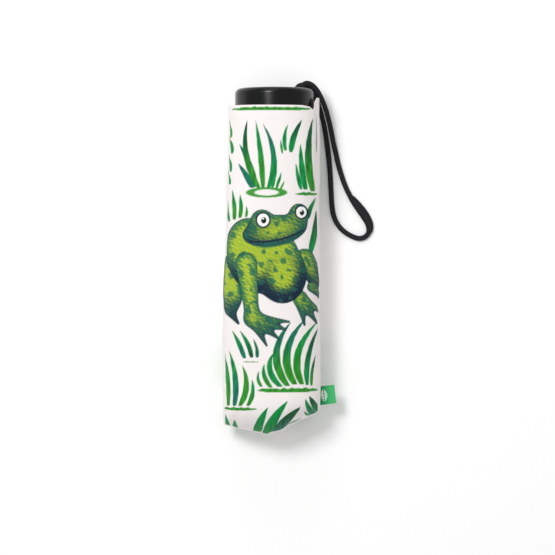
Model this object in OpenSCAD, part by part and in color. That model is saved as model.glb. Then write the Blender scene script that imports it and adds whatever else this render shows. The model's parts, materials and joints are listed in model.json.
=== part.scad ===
// Three-fold pocket umbrella for a child, closed and slipped into its printed sleeve.
// It lies on its flat side: Y runs along the shaft with the handle at +Y, X is to the right, Z is up.
// The origin is on the surface it lies on, straight under the shaft.

/* [Shaft] */
// Height of the shaft's axis above the surface
axis_z = 27; // [27:0.5:30]
// Outer radius of the top tube, which carries the crown
top_tube_r = 5.5; // [5.5:0.1:5.6]
// Distance that each tube slides out
tube_travel = 137; // [120:1:137]

/* [Ribs] */
// Number of ribs
rib_count = 6; // [6:1:6]
// Angle that a top rib swings out
top_swing = 81; // [75:1:84]
// Thickness of a pressed rib across its plane
rib_t = 2; // [1.8:0.1:2]

/* [Handle] */
// Radius of the round handle cap
cap_r = 25.25; // [24:0.25:25.25]
// Length of the handle cap
cap_len = 18; // [16:0.5:20]
// Radius of the cap's rounded rim
rim_r = 3.5; // [2:0.5:5]

/* [Wrist loop] */
// Diameter of the braided cord
cord_d = 2.9; // [2.5:0.1:3.2]

/* [Sleeve] */
// Thickness of the sleeve's cloth with its seams
cloth_t = 0.8; // [0.6:0.1:0.9]
// Size of the woven tag
tag_size = [11, 12]; // [8:0.5:14]

/* [Hidden] */
$fn = 32;

black = "#17181a";
steel = "#b9bcc0";
zinc = "#8e9195";
cloth = "#f1eeea";

// Tubes: each slides in the next with 0.2 mm all round
slip = 0.2;
wall = 0.6;
wall_lower = 0.5;
top_bore = top_tube_r - wall;
mid_tube_r = top_bore - slip;
mid_bore = mid_tube_r - wall_lower;
low_tube_r = mid_bore - slip;
low_bore = low_tube_r - wall_lower;
top_tube_y = [-87, 88];
mid_tube_y = [-79.5, 90];
low_tube_y = [-64, 104];
mid_nib_y = -72;
low_nib_y = -56;
nib_r = 1;

// Pivots of one rib, as [distance from the shaft, Y], in the rib's own plane
crown_pivot = [8, -92];
stretch_pivot = [10.75, -22];
runner_pivot = [9, 63];
elbow = [13.75, 74];
tip_elbow = [16.6, -90];
tip_end = [18, 80];
top_band = 12.25;
channel_r = 10.85;
mid_band = 15.25;
tip_band = 18;
band_w = 2.5;
rivet_r = 0.75;
rivet_hole = 0.8;
eye_r = 1.6;
cheek_in = 1.1;
cheek_out = 1.7;

// Thin control rods lie 2.7 mm to each side of the ribs
rod_side = 2.7;
rod_t = 1;
rod_pin_r = 0.5;
rod_hole = 0.55;
tail_len = 4.47;
stretcher_dir = dir_of(stretch_pivot, runner_pivot);
rod_foot = stretch_pivot + 5 * unit(stretcher_dir);
rod_tail = elbow + [0, tail_len];
outer_foot = elbow + [0, 4];
outer_tip = tip_elbow + 4 * unit(15);

// Where the runner stops when the umbrella is open
swung_pivot = crown_pivot + turned(stretch_pivot - crown_pivot, top_swing);
stretcher_len = norm(stretch_pivot - runner_pivot);
reach = swung_pivot[0] - runner_pivot[0];
open_pivot_y = swung_pivot[1] + sqrt(stretcher_len * stretcher_len - reach * reach);
runner_travel = runner_pivot[1] - open_pivot_y;

// Crown at the shaft's far end
crown_r = 11;
crown_y = [-96.9, -87];
slot_w = 2.5;
wire_r = 0.7;

// Runner: a sleeve round the top tube with a slotted flange, a grip and a catch on top
runner_y = [42, 90];
flange_y = [58.8, 67.2];
flange_r = 10.4;
runner_bore = top_tube_r + 0.15;
grip_y = [76, 90];
catch_y = 73;
catch_pivot = [8.9, 81];

// Folded cloth round the ribs
bundle_mid = [-1.4, 26];
bundle_y = [-89.6, 84];
bundle_half = [26.8, 22.8];
strap_y = [22, 40];

// Handle
cap_end = 112;
cap_y = cap_end - cap_len;
cap_wall = 2;
core_r = 7;
plate_y = 95.2;
plate_t = 1.6;
pin_y = 99.5;
pin_r = 1;
strap_hole = [15.5, axis_z - 6.5];
strap_hole_r = 3.6;

// Route of the wrist loop's braided cord, out of the cap, down to the surface and back
loop_route = [
    [14, 108.5, 19.4], [14.1, 112, 19.4], [16, 114.4, 18.6], [19.6, 114.9, 17],
    [23, 112.6, 14.8], [25.9, 108.4, 12], [28.2, 103, 9.2], [30.2, 97, 6.4],
    [31.9, 90.5, 4], [33.1, 84, 2.3], [34.1, 77, 1.7], [35, 70, 1.6],
    [35.8, 62, 1.6], [36.3, 54, 1.6], [36.7, 46, 1.6], [37.2, 38, 1.6],
    [38.4, 31, 1.6], [41, 25.4, 1.6], [45, 21, 1.6], [49.8, 18, 1.6],
    [54.4, 16.4, 1.6], [58.4, 17.2, 1.6], [61.2, 20.4, 1.6], [61, 25, 1.6],
    [58.6, 29.6, 1.6], [55.4, 34.2, 1.6], [51.8, 39.4, 1.6], [48.4, 45, 1.6],
    [45.6, 51, 1.6], [43.2, 58, 1.6], [41.2, 65, 1.8], [39.6, 72, 2.4],
    [38, 79, 3.8], [36.6, 86, 6], [35, 93, 8.8], [33, 99.6, 12],
    [30.4, 106, 15.4], [27.2, 111.6, 18.6], [23.4, 115.2, 20.8], [19.6, 115.6, 21.6],
    [17.1, 112, 21.6], [17, 108.5, 21.6]
];
cord_sides = 8;

// Sleeve: half-sections along Y as [Y, left edge, right edge, top]
sleeve_rings = [
    [100, -29.8, 28.6, 54], [80, -30.2, 28.7, 53.8], [55, -30.8, 28.9, 53.4],
    [30, -31.4, 29, 53], [5, -32.2, 29.1, 52.6], [-20, -33, 29.2, 52.4],
    [-50, -33.2, 29.2, 52.2], [-84, -33.2, 29.2, 52]
];
end_steps = 8;
end_start = -84;
end_top = 15;
end_bottom = 11;
section_sides = 36;
round_power = 2.5;
dip = 1;

function unit(a) = [sin(a), cos(a)];
function dir_of(p, q) = atan2(q[0] - p[0], q[1] - p[1]);
function turned(v, a) = [v[0] * cos(a) + v[1] * sin(a), v[1] * cos(a) - v[0] * sin(a)];
function bulge(c) = sign(c) * pow(abs(c), 2 / round_power);

// ---- placing ----

// Shapes drawn along +Z go along the shaft
module on_shaft() {
    translate([0, 0, axis_z]) rotate([-90, 0, 0]) children();
}

// Shapes drawn flat, with X away from the shaft and Y along it, go in the plane of rib k
module rib_plane(k) {
    translate([0, 0, axis_z]) rotate([0, -360 / rib_count * (k - 1), 0]) children();
}

module tube(r, bore, ends) {
    on_shaft() translate([0, 0, ends[0]]) difference() {
        cylinder(r = r, h = ends[1] - ends[0]);
        translate([0, 0, -1]) cylinder(r = bore, h = ends[1] - ends[0] + 2);
    }
}

// Round hole through a tube's wall on the side away from the surface
module side_hole(y, r) {
    translate([0, y, axis_z]) cylinder(r = r, h = 12);
}

// Flat bar with round ends between two points
module link(p, q, w) {
    a = atan2(q[1] - p[1], q[0] - p[0]);
    translate(p) circle(r = w / 2);
    translate(q) circle(r = w / 2);
    translate(p) rotate(a) translate([0, -w / 2]) square([norm(q - p), w]);
}

// Layer from height a to height b across the rib's plane
module layer(a, b) {
    translate([0, 0, a]) linear_extrude(b - a) children();
}

module across(p, r, a, b) {
    translate([p[0], p[1], a]) cylinder(r = r, h = b - a);
}

// ---- ribs ----

module top_rib(k) {
    color(steel) rib_plane(k) difference() {
        union() {
            layer(-rib_t / 2, rib_t / 2) {
                link(crown_pivot, [top_band, -80], 2.4);
                link([top_band, -80], [top_band, elbow[1] - 4], band_w);
                link([top_band, elbow[1] - 4], elbow, band_w);
                link(elbow, outer_foot, 2.2);
                translate(crown_pivot) circle(r = eye_r);
                translate(stretch_pivot) circle(r = eye_r);
                translate(elbow) circle(r = eye_r);
            }
            across(outer_foot, rod_pin_r, -rod_side - rod_t / 2 - 0.2, 0);
        }
        across(crown_pivot, 0.95, -2, 2);
        across(stretch_pivot, rivet_hole, -2, 2);
        across(elbow, rivet_hole, -2, 2);
    }
}

module stretcher(k) {
    shoulder = stretch_pivot + 8 * unit(stretcher_dir);
    color(steel) rib_plane(k) {
        difference() {
            union() {
                layer(-rib_t / 2, rib_t / 2) link(shoulder, runner_pivot, 2.6);
                layer(-cheek_out, cheek_out) link(stretch_pivot, shoulder, 3);
            }
            layer(-cheek_in, cheek_in) {
                translate(stretch_pivot) circle(r = 3.6);
                translate([channel_r, stretch_pivot[1] - 4]) square([3, 70]);
            }
        }
        across(stretch_pivot, rivet_r, -cheek_out - 0.3, cheek_out + 0.3);
        across(runner_pivot, rivet_r, -2.2, 2.2);
        across(rod_foot, rod_pin_r, cheek_in, rod_side + rod_t / 2 + 0.2);
    }
}

module mid_rib(k) {
    bend = [mid_band, elbow[1] - 10];
    color(steel) rib_plane(k) {
        difference() {
            union() {
                layer(cheek_in, cheek_out) {
                    link(rod_tail, elbow, 2.2);
                    link(elbow, bend, 2.6);
                    translate(elbow) circle(r = eye_r);
                }
                layer(-rib_t / 2, cheek_out) link(bend, bend - [0, 4], band_w);
                layer(-rib_t / 2, rib_t / 2) {
                    link(bend, [mid_band, tip_elbow[1] + 5], band_w);
                    link([mid_band, tip_elbow[1] + 5], tip_elbow, 2.4);
                    translate(tip_elbow) circle(r = 1.4);
                }
            }
            across(tip_elbow, rivet_hole, -2, 2);
        }
        across(elbow, rivet_r, -rib_t / 2 - 0.3, cheek_in);
        across(elbow, 1.2, -rib_t / 2 - 0.5, -rib_t / 2 - 0.1);
    }
}

module tip_rib(k) {
    block = [tip_band, tip_elbow[1] + 8];
    color(steel) rib_plane(k) {
        difference() {
            layer(-cheek_out, cheek_out) {
                link(tip_elbow, block, 2);
                link(block, block + [0, 5], 2);
                translate(tip_elbow) circle(r = 1.4);
            }
            layer(-cheek_in, cheek_in) translate(tip_elbow) circle(r = 6.2);
        }
        layer(-0.9, 0.9) link(block + [0, 2], tip_end, 1.8);
        across(tip_elbow, rivet_r, -cheek_out, cheek_out);
        translate([tip_end[0], tip_end[1], 0]) sphere(r = 1.4);
    }
}

module rod(p, q, side) {
    difference() {
        layer(side - rod_t / 2, side + rod_t / 2) {
            link(p, q, 1);
            translate(p) circle(r = 1);
            translate(q) circle(r = 1);
        }
        across(p, rod_hole, side - 1, side + 1);
        across(q, rod_hole, side - 1, side + 1);
    }
}

module inner_rod(k) {
    color(zinc) rib_plane(k) rod(rod_foot, rod_tail, rod_side);
}

module outer_rod(k) {
    color(zinc) rib_plane(k) rod(outer_foot, outer_tip, -rod_side);
}

// ---- shaft and crown ----

module top_tube() {
    color(steel) difference() {
        tube(top_tube_r, top_bore, top_tube_y);
        side_hole(mid_nib_y + tube_travel, nib_r + 0.15);
        for (y = [catch_y, catch_y - runner_travel])
            translate([-2.15, y - 1.1, axis_z]) cube([4.3, 2.7, 12]);
    }
}

module middle_tube() {
    color(steel) difference() {
        tube(mid_tube_r, mid_bore, mid_tube_y);
        side_hole(mid_nib_y, nib_r + 0.1);
        side_hole(low_nib_y + tube_travel, nib_r + 0.15);
    }
}

module lower_tube() {
    color(steel) difference() {
        tube(low_tube_r, low_bore, low_tube_y);
        side_hole(low_nib_y, nib_r + 0.1);
        translate([-10, pin_y, axis_z]) rotate([0, 90, 0]) cylinder(r = pin_r + 0.02, h = 20);
    }
}

// Height of a nib that just clears the round bore it slides in
function inside(bore) = sqrt(bore * bore - nib_r * nib_r) - 0.05;

// Bent leaf spring whose nib stands in a tube's wall
module tube_catch(y, bore, tip) {
    translate([0, y, axis_z]) {
        rotate([90, 0, 90]) translate([0, 0, -1.2]) linear_extrude(2.4) polygon([
            [5, 1.2 - bore], [5, 1.7 - bore], [-4.5, 1.7 - bore],
            [-5, 0], [-4, bore - 1.7], [2.5, bore - 1], [2.5, bore - 0.5],
            [-4.4, bore - 1.1], [-5.7, 0], [-5, 1.2 - bore]
        ]);
        translate([0, 0, bore - 1.2]) cylinder(r = nib_r, h = tip - bore + 1.2);
    }
}

module middle_tube_catch() {
    color(zinc) tube_catch(mid_nib_y, mid_bore, inside(top_bore));
}

module lower_tube_catch() {
    color(zinc) tube_catch(low_nib_y, low_bore, inside(mid_bore));
}

module crown() {
    color(black) difference() {
        on_shaft() rotate_extrude() {
            translate([0, crown_y[0]]) square([crown_r, crown_y[1] - crown_y[0]]);
            translate([0, crown_y[0]]) square([top_bore - 0.02, 16]);
        }
        on_shaft() translate([0, 0, crown_pivot[1]]) rotate_extrude()
            translate([crown_pivot[0], 0]) circle(r = wire_r + 0.02);
        on_shaft() translate([0, 0, -97.5]) cylinder(r = 3.02, h = 7);
        for (k = [1 : rib_count]) rib_plane(k)
            translate([6.2, -98, -slot_w / 2]) cube([6, 12, slot_w]);
        on_shaft() translate([0, 0, -84]) cylinder(r = 3.6, h = 8);
    }
}

module crown_wire() {
    color(steel) on_shaft() translate([0, 0, crown_pivot[1]]) rotate_extrude()
        translate([crown_pivot[0], 0]) circle(r = wire_r);
}

module ferrule() {
    color(black) on_shaft() rotate_extrude() {
        translate([0, -98.6]) square([3, 7.4]);
        intersection() {
            translate([0, -98.6]) circle(r = 5.6);
            translate([0, -105]) square([6, 6.4]);
        }
    }
}

module canopy() {
    color(cloth) difference() {
        union() {
            bundle(bundle_y, bundle_half);
            on_shaft() translate([0, 0, -98.4]) cylinder(r1 = 14.5, r2 = 22.8, h = 8.4);
            on_shaft() translate([0, 0, -90.1]) cylinder(r = 22.8, h = 3);
        }
        on_shaft() translate([0, 0, -97.4]) cylinder(r1 = 13.3, r2 = 21.5, h = 8);
        on_shaft() translate([0, 0, -91.6]) cylinder(r = 19.8, h = 180);
        on_shaft() translate([0, 0, -99]) cylinder(r = 3.1, h = 3);
    }
}

// Rounded length of folded cloth, with its half width and half height
module bundle(ends, half) {
    translate([bundle_mid[0], ends[0], bundle_mid[1]]) rotate([-90, 0, 0])
        linear_extrude(ends[1] - ends[0])
            polygon([for (i = [0 : 47]) [half[0] * bulge(cos(i * 7.5)), half[1] * bulge(sin(i * 7.5))]]);
}

module tie_strap() {
    color(cloth) difference() {
        bundle(strap_y, bundle_half + [1.2, 1]);
        bundle([strap_y[0] - 1, strap_y[1] + 1], bundle_half + [0.4, 0.3]);
    }
}

// ---- runner and its latch ----

module runner() {
    color(black) difference() {
        on_shaft() rotate_extrude() {
            translate([runner_bore, runner_y[0]]) square([1.65, runner_y[1] - runner_y[0]]);
            translate([runner_bore, flange_y[0]])
                square([flange_r - runner_bore, flange_y[1] - flange_y[0]]);
            translate([runner_bore, grip_y[0]]) square([4.15, grip_y[1] - grip_y[0]]);
        }
        for (k = [1 : rib_count]) rib_plane(k) {
            translate([7.3, 58, -slot_w / 2]) cube([4, 10, slot_w]);
            across(runner_pivot, 0.9, -2.4, 2.4);
            layer(-2.4, 2.4) polygon([
                [8.2, 62.6], [8.2, 68], [12, 70], [12, 61], [9.9, 62.6]
            ]);
        }
        translate([-2.3, catch_y - 3, axis_z + top_tube_r - 1]) cube([4.6, 6, 6]);
        translate([-2.3, catch_y, axis_z + 7.25]) cube([4.6, 18, 4]);
        translate([-4, catch_pivot[1], axis_z + catch_pivot[0]]) rotate([0, 90, 0])
            cylinder(r = 0.62, h = 8);
    }
}

module runner_catch() {
    color(black) translate([0, 0, axis_z]) rotate([90, 0, 90]) difference() {
        translate([0, 0, -2]) linear_extrude(4) polygon([
            [catch_y - 1, 5.75], [catch_y + 1, 5.75], [catch_y + 1.6, 7.7],
            [83, 7.7], [86, 8.4], [88.6, 9.2], [88.6, 10.6], [84, 10.5],
            [catch_y + 1, 9.6], [catch_y - 1.6, 9]
        ]);
        translate([catch_pivot[1], catch_pivot[0], -3]) cylinder(r = 0.67, h = 6);
    }
}

module latch_pin() {
    color(steel) translate([-3.9, catch_pivot[1], axis_z + catch_pivot[0]]) rotate([0, 90, 0])
        cylinder(r = 0.6, h = 7.8);
}

module latch_spring() {
    color(steel) translate([-1.2, 0, axis_z]) rotate([90, 0, 90]) linear_extrude(2.4) polygon([
        [79.5, 7.27], [86.2, 7.27], [87.8, 8.65], [87.5, 8.75], [86, 7.5], [79.5, 7.5]
    ]);
}

// ---- handle ----

module handle_cap() {
    color(black) difference() {
        on_shaft() rotate_extrude($fn = 96) difference() {
            union() {
                translate([0, cap_y]) square([cap_r, cap_len - rim_r]);
                translate([0, cap_y]) square([cap_r - rim_r, cap_len]);
                translate([cap_r - rim_r, cap_end - rim_r]) circle(r = rim_r);
            }
            translate([0, cap_y - 1]) square([cap_r - cap_wall, cap_len - cap_wall + 1]);
        }
        translate([strap_hole[0], 115, strap_hole[1]]) rotate([90, 0, 0])
            cylinder(r = strap_hole_r, h = 8);
    }
}

module handle_core() {
    color(black) difference() {
        on_shaft() rotate_extrude() {
            translate([0, 92]) square([core_r, cap_end - cap_wall - 92]);
            translate([0, plate_y]) square([cap_r - cap_wall - 0.1, plate_t]);
        }
        on_shaft() translate([0, 0, 91]) cylinder(r = low_tube_r + 0.02, h = low_tube_y[1] - 91);
        translate([-10, pin_y, axis_z]) rotate([0, 90, 0]) cylinder(r = pin_r + 0.02, h = 20);
    }
}

module handle_pin() {
    color(steel) translate([-core_r, pin_y, axis_z]) rotate([0, 90, 0])
        cylinder(r = pin_r, h = 2 * core_r);
}

module loop_anchor() {
    color(zinc) translate([strap_hole[0], 109.9, strap_hole[1]]) rotate([90, 0, 0])
        cylinder(r = 4.6, h = 5);
}

// ---- braided cord ----

function along(i) =
    let (n = len(loop_route) - 1, a = loop_route[max(i - 1, 0)], b = loop_route[min(i + 1, n)])
    (b - a) / norm(b - a);

function cord_ring(i) =
    let (t = along(i), s = cross(t, [0, 0, 1]) / norm(cross(t, [0, 0, 1])), u = cross(s, t))
    [for (k = [0 : cord_sides - 1])
        let (a = 360 / cord_sides * k)
        loop_route[i] + cord_d / 2 * (cos(a) * s + sin(a) * u)];

// Closed skin over rings of n points each, from the first ring to the last, capped with flat strips
module skin(rings, n) {
    m = len(rings);
    sides = [for (i = [0 : m - 2], k = [0 : n - 1])
        let (a = i * n + k, b = i * n + (k + 1) % n)
        each [[a, b, b + n], [a, b + n, a + n]]];
    cap = concat(
        [for (k = [0 : n / 2 - 2]) [k, k + 1, n - k - 1]],
        [for (k = [1 : n / 2 - 1]) [k, n - k - 1, n - k]]
    );
    ends = [for (f = cap) each [[f[2], f[1], f[0]], [for (j = f) j + (m - 1) * n]]];
    polyhedron([for (ring = rings) each ring], concat(sides, ends));
}

module wrist_loop() {
    color(black) skin([for (i = [0 : len(loop_route) - 1]) cord_ring(i)], cord_sides);
}

// ---- sleeve ----

// The sewn end runs down from the left corner to the middle and up to the right corner
function end_line(x) = x < -4 ? -110.5 - (x + 4) * 0.207 : -110.5 + (x + 4) * 0.481;

// Rounded section, flat where it lies on the surface
function section(x0, x1, z0, z1) =
    [for (k = [0 : section_sides - 1])
        let (a = -360 / section_sides * k, z = (z0 + z1) / 2 + (z1 - z0) / 2 * bulge(sin(a)))
        [(x0 + x1) / 2 + (x1 - x0) / 2 * bulge(cos(a)), max(z, 0)]];

function flat_ring(row, inset, floor_z) =
    [for (p = section(row[1] + inset, row[2] - inset, floor_z, row[3] - inset)) [p[0], row[0], p[1]]];

function end_ring(s, inset, floor_z) =
    let (
        row = sleeve_rings[len(sleeve_rings) - 1],
        w = sqrt(1 - pow(s, 3)),
        top = end_top + (row[3] - end_top) * w,
        low = floor_z + (end_bottom + inset - floor_z) * pow(s, 3),
        narrow = pow(s, 4)
    )
    [for (p = section(row[1] + inset + narrow, row[2] - inset - narrow, low, top - inset))
        [p[0], end_start + s * (end_line(p[0]) + inset - end_start), p[1]]];

module sleeve_body(inset, floor_z, mouth) {
    first = sleeve_rings[0];
    skin(concat(
        mouth > 0 ? [flat_ring([first[0] + mouth, first[1], first[2], first[3]], inset, floor_z)] : [],
        [for (row = sleeve_rings) flat_ring(row, inset, floor_z)],
        [for (i = [1 : end_steps]) end_ring(i / end_steps, inset, floor_z)]
    ), section_sides);
}

module sleeve() {
    color(cloth) difference() {
        sleeve_body(0, -dip, 0);
        sleeve_body(cloth_t, cloth_t, 5);
    }
}

// Turned-in hem at the sleeve's mouth
module sleeve_hem() {
    row = sleeve_rings[0];
    hem = 0.35;
    color(cloth) difference() {
        translate([0, row[0] - 9, 0]) rotate([-90, 0, 0]) mirror([0, 1, 0])
            linear_extrude(8.5) polygon(section(row[1] + 1.1, row[2] - 1.1, cloth_t, row[3] - 1.2));
        translate([0, row[0] - 10, 0]) rotate([-90, 0, 0]) mirror([0, 1, 0])
            linear_extrude(12) polygon(
                section(row[1] + 1.1 + hem, row[2] - 1.1 - hem, cloth_t + hem, row[3] - 1.2 - hem));
    }
}

module sleeve_tag() {
    color("#1f8f5c") translate([28.2, -85, 21]) rotate([0, 0, 6.5]) translate([0, -tag_size[1] / 2, -0.3])
        cube([tag_size[0], tag_size[1], 0.6]);
}

top_tube();
middle_tube();
lower_tube();
middle_tube_catch();
lower_tube_catch();
crown();
crown_wire();
ferrule();
canopy();
tie_strap();
runner();
runner_catch();
latch_spring();
latch_pin();
handle_cap();
handle_core();
handle_pin();
loop_anchor();
wrist_loop();
sleeve();
sleeve_hem();
sleeve_tag();
for (k = [1 : rib_count]) {
    top_rib(k);
    stretcher(k);
    mid_rib(k);
    tip_rib(k);
    inner_rod(k);
    outer_rod(k);
}
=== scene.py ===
import json
import math
import bpy
import numpy as np
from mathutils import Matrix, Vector

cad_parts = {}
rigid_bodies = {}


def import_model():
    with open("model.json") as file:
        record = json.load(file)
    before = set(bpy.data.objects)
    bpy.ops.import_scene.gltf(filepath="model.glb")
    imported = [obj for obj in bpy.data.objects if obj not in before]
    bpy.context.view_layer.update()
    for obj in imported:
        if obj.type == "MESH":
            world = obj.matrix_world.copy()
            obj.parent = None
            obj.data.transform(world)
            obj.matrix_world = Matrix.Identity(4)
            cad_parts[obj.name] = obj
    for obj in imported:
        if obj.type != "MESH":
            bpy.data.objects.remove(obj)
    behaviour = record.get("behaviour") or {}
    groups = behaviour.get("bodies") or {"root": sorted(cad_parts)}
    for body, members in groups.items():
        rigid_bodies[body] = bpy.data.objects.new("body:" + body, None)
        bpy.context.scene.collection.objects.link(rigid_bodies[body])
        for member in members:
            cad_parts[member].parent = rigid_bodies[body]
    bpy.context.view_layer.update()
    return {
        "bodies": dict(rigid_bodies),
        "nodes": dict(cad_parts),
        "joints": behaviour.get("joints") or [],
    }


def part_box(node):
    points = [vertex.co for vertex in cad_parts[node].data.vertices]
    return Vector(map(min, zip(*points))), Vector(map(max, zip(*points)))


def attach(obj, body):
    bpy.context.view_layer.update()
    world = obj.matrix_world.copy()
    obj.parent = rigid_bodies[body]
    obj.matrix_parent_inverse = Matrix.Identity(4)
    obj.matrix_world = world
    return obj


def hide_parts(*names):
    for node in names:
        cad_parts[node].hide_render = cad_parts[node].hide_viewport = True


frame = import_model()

mm = 0.001


def linear(hexColour):  # sRGB hex to the linear values that Blender works in
    rgb = [int(hexColour[i:i + 2], 16) / 255 for i in (1, 3, 5)]
    return [c / 12.92 if c <= 0.04045 else ((c + 0.055) / 1.055) ** 2.4 for c in rgb] + [1.0]


def addNode(tree, kind, settings=None, links=None):
    node = tree.nodes.new(kind)
    for name, value in (settings or {}).items():
        if isinstance(name, int) or name in node.inputs:
            node.inputs[name].default_value = value
        else:
            setattr(node, name, value)
    for name, source in (links or {}).items():
        tree.links.new(source, node.inputs[name])
    return node


def newMaterial(name):
    material = bpy.data.materials.new(name)
    material.use_nodes = True
    material.node_tree.nodes.clear()
    return material, material.node_tree


def closeMaterial(tree, shader):
    addNode(tree, "ShaderNodeOutputMaterial", links={"Surface": shader.outputs["BSDF"]})


def smoothStep(a, b, x):
    t = np.clip((x - a) / (b - a), 0, 1)
    return t * t * (3 - 2 * t)


def meshPiece(name, points, faces, material, body, uv=None, colours=None):  # points in mm
    mesh = bpy.data.meshes.new(name)
    points = np.asarray(points, float)
    mesh.from_pydata((points * mm).tolist(), [], [list(map(int, face)) for face in faces])
    if uv is not None:
        layer = mesh.uv_layers.new(name="cloth")
        loops = np.zeros(len(mesh.loops), np.int32)
        mesh.loops.foreach_get("vertex_index", loops)
        layer.data.foreach_set("uv", np.asarray(uv, np.float32)[loops].ravel())
    if colours is not None:
        rgba = np.ones((len(points), 4), np.float32)
        rgba[:, :3] = colours
        mesh.color_attributes.new("print", "FLOAT_COLOR", "POINT").data.foreach_set("color", rgba.ravel())
    mesh.polygons.foreach_set("use_smooth", [True] * len(mesh.polygons))
    mesh.materials.append(material)
    mesh.update()
    obj = bpy.data.objects.new(name, mesh)
    bpy.context.scene.collection.objects.link(obj)
    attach(obj, body)
    return obj


def gridFaces(rows, columns, closed=True):  # quads over rows x columns points, row by row
    i, j = np.meshgrid(np.arange(rows - 1), np.arange(columns if closed else columns - 1), indexing="ij")
    a = i * columns + j
    b = i * columns + (j + 1) % columns
    return np.stack([a, b, b + columns, a + columns], -1).reshape(-1, 4)


# Camera: straight down on the umbrella, with the handle at the top
cameraSet = {"lens": 200, "sensor": 36, "aim": (1.9, -9.0), "field": 355.2, "height": 30}
cameraData = bpy.data.cameras.new("camera")
cameraData.lens = cameraSet["lens"]
cameraData.sensor_width = cameraSet["sensor"]
camera = bpy.data.objects.new("camera", cameraData)
bpy.context.scene.collection.objects.link(camera)
distance = cameraSet["field"] * cameraSet["lens"] / cameraSet["sensor"]
camera.location = (cameraSet["aim"][0] * mm, cameraSet["aim"][1] * mm, (distance + cameraSet["height"]) * mm)
cameraData.clip_start, cameraData.clip_end = 0.05, 20
bpy.context.scene.camera = camera

# Wrist loop: one flat braided strap, knotted inside the cap, out through its hole, round and back in
loopSet = {"width": 3.3, "thick": 2.1, "step": 0.5, "sides": 20, "pick": 0.9}
loopRoute = [
    (14, 108.5, 19.4), (14.1, 112, 19.4), (16, 114.4, 18.6), (19.6, 114.9, 17),
    (23, 112.6, 14.8), (25.9, 108.4, 12), (28.2, 103, 9.2), (30.2, 97, 6.4),
    (31.9, 90.5, 4), (33.1, 84, 2.3), (34.1, 77, 1.7), (35, 70, 1.6),
    (35.8, 62, 1.6), (36.3, 54, 1.6), (36.7, 46, 1.6), (37.2, 38, 1.6),
    (38.4, 31, 1.6), (41, 25.4, 1.6), (45, 21, 1.6), (49.8, 18, 1.6),
    (54.4, 16.4, 1.6), (58.4, 17.2, 1.6), (61.2, 20.4, 1.6), (61, 25, 1.6),
    (58.6, 29.6, 1.6), (55.4, 34.2, 1.6), (51.8, 39.4, 1.6), (48.4, 45, 1.6),
    (45.6, 51, 1.6), (43.2, 58, 1.6), (41.2, 65, 1.8), (39.6, 72, 2.4),
    (38, 79, 3.8), (36.6, 86, 6), (35, 93, 8.8), (33, 99.6, 12),
    (30.4, 106, 15.4), (27.2, 111.6, 18.6), (23.4, 115.2, 20.8), (19.6, 115.6, 21.6),
    (17.1, 112, 21.6), (17, 108.5, 21.6),
]


def smoothRoute(route, step):  # Catmull-Rom through the points, then even steps along it
    p = np.asarray(route, float)
    q = np.vstack([2 * p[0] - p[1], p, 2 * p[-1] - p[-2]])
    t = np.linspace(0, 1, 24, endpoint=False)[:, None]
    fine = [0.5 * (2 * q[i + 1] + (q[i + 2] - q[i]) * t
                   + (2 * q[i] - 5 * q[i + 1] + 4 * q[i + 2] - q[i + 3]) * t ** 2
                   + (3 * q[i + 1] - q[i] - 3 * q[i + 2] + q[i + 3]) * t ** 3) for i in range(len(p) - 1)]
    fine = np.vstack(fine + [p[-1:]])
    along = np.r_[0, np.cumsum(np.linalg.norm(np.diff(fine, axis=0), axis=1))]
    at = np.linspace(0, along[-1], int(along[-1] / step) + 1)
    return np.stack([np.interp(at, along, fine[:, k]) for k in range(3)], 1), at


def strapFrame(path):
    t = np.gradient(path, axis=0)
    t /= np.linalg.norm(t, axis=1)[:, None]
    side = np.cross(t, [0, 0, 1])
    side /= np.linalg.norm(side, axis=1)[:, None]
    return side, np.cross(side, t)


def strapRings(path, side, up, halfWidth, halfThick, sides, power=2.6):  # flat strap with round edges
    a = np.arange(sides) * 2 * math.pi / sides
    c = np.sign(np.cos(a)) * np.abs(np.cos(a)) ** (2 / power)
    s = np.sign(np.sin(a)) * np.abs(np.sin(a)) ** (2 / power)
    w, h = np.atleast_1d(halfWidth)[:, None, None], np.atleast_1d(halfThick)[:, None, None]
    rings = path[:, None] + w * c[None, :, None] * side[:, None] + h * s[None, :, None] * up[:, None]
    return rings.reshape(-1, 3), np.tile(c, len(path))


def capEnds(points, faces, rows, columns):  # closes both ends of a tube with a fan
    centre = [points[:columns].mean(0), points[-columns:].mean(0)]
    k = np.arange(columns)
    first = np.stack([(k + 1) % columns, k, np.full(columns, len(points)), np.full(columns, len(points))], 1)
    last = np.stack([k, (k + 1) % columns, np.full(columns, 1), np.full(columns, 1)], 1)
    last[:, :2] += (rows - 1) * columns
    last[:, 2:] = len(points) + 1
    fans = [f[:3].tolist() for f in np.vstack([first, last])]
    return np.vstack([points, centre]), faces.tolist() + fans


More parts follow.
